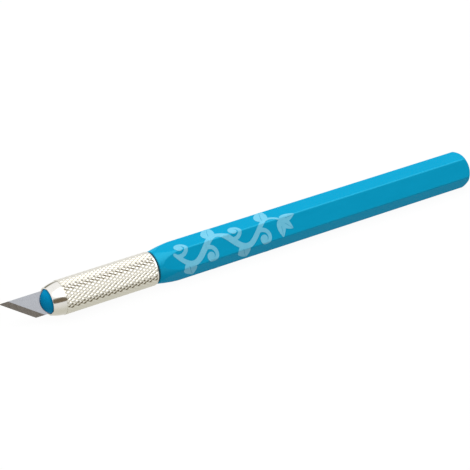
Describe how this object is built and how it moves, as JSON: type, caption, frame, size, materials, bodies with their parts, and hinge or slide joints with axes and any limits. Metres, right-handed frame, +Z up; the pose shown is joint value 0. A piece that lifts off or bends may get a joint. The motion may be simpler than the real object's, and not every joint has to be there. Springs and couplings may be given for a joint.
{
  "type": "craft knife",
  "caption": "Slim craft knife with a hexagonal blue handle, a knurled screw collar and a split collet that clamps a slanted blade; the collar unscrews and the blade slides out.",
  "frame": {"origin": "on the surface that the knife lies on, under the middle of its overall length", "axes": "+X from the blade's tip to the handle's tail, +Z up, square to the handle flat that the knife lies on"},
  "size_m": [0.1498, 0.0106, 0.0094],
  "materials": {
    "handle_plastic": "satin moulded, blue",
    "collet_plastic": "moulded, darker blue",
    "collar_metal": "turned and diamond knurled",
    "washer_rubber": "dark, matt",
    "blade_steel": "ground, with a darker bevel"
  },
  "bodies": {
    "handle": {"handle_barrel": "handle_plastic", "collet_spigot": "collet_plastic"},
    "washer": {"friction_washer": "washer_rubber"},
    "collar": {"knurled_collar": "collar_metal"},
    "upper_jaw": {"collet_jaw_upper": "collet_plastic"},
    "lower_jaw": {"collet_jaw_lower": "collet_plastic"},
    "blade": {"blade": "blade_steel"}
  },
  "joints": [
    {"name": "collar_advance", "type": "slide", "parent": "handle", "child": "washer", "axis": [-1, 0, 0], "range_m": [0, 0.0024]},
    {"name": "collar_turn", "type": "hinge", "parent": "washer", "child": "collar", "pos_m": [-0.0309, 0, 0.0047], "axis": [-1, 0, 0], "range_deg": [0, 1080]},
    {"name": "upper_jaw_flex", "type": "hinge", "parent": "handle", "child": "upper_jaw", "pos_m": [-0.0428, -0.00173, 0.0057], "axis": [0, 0.5, 0.866], "range_deg": [0, 0.81]},
    {"name": "lower_jaw_flex", "type": "hinge", "parent": "handle", "child": "lower_jaw", "pos_m": [-0.0428, 0.00173, 0.0037], "axis": [0, -0.5, -0.866], "range_deg": [0, 0.81]},
    {"name": "blade_slide", "type": "slide", "parent": "handle", "child": "blade", "axis": [-1, 0, 0], "range_m": [0, 0.021]}
  ],
  "couplings": [
    {"joint": "collar_turn", "follows": "collar_advance", "rad_per_m": 7854},
    {"joint": "upper_jaw_flex", "follows": "collar_advance", "rad_per_m": 5.8177},
    {"joint": "lower_jaw_flex", "follows": "collar_advance", "rad_per_m": 5.8177}
  ]
}
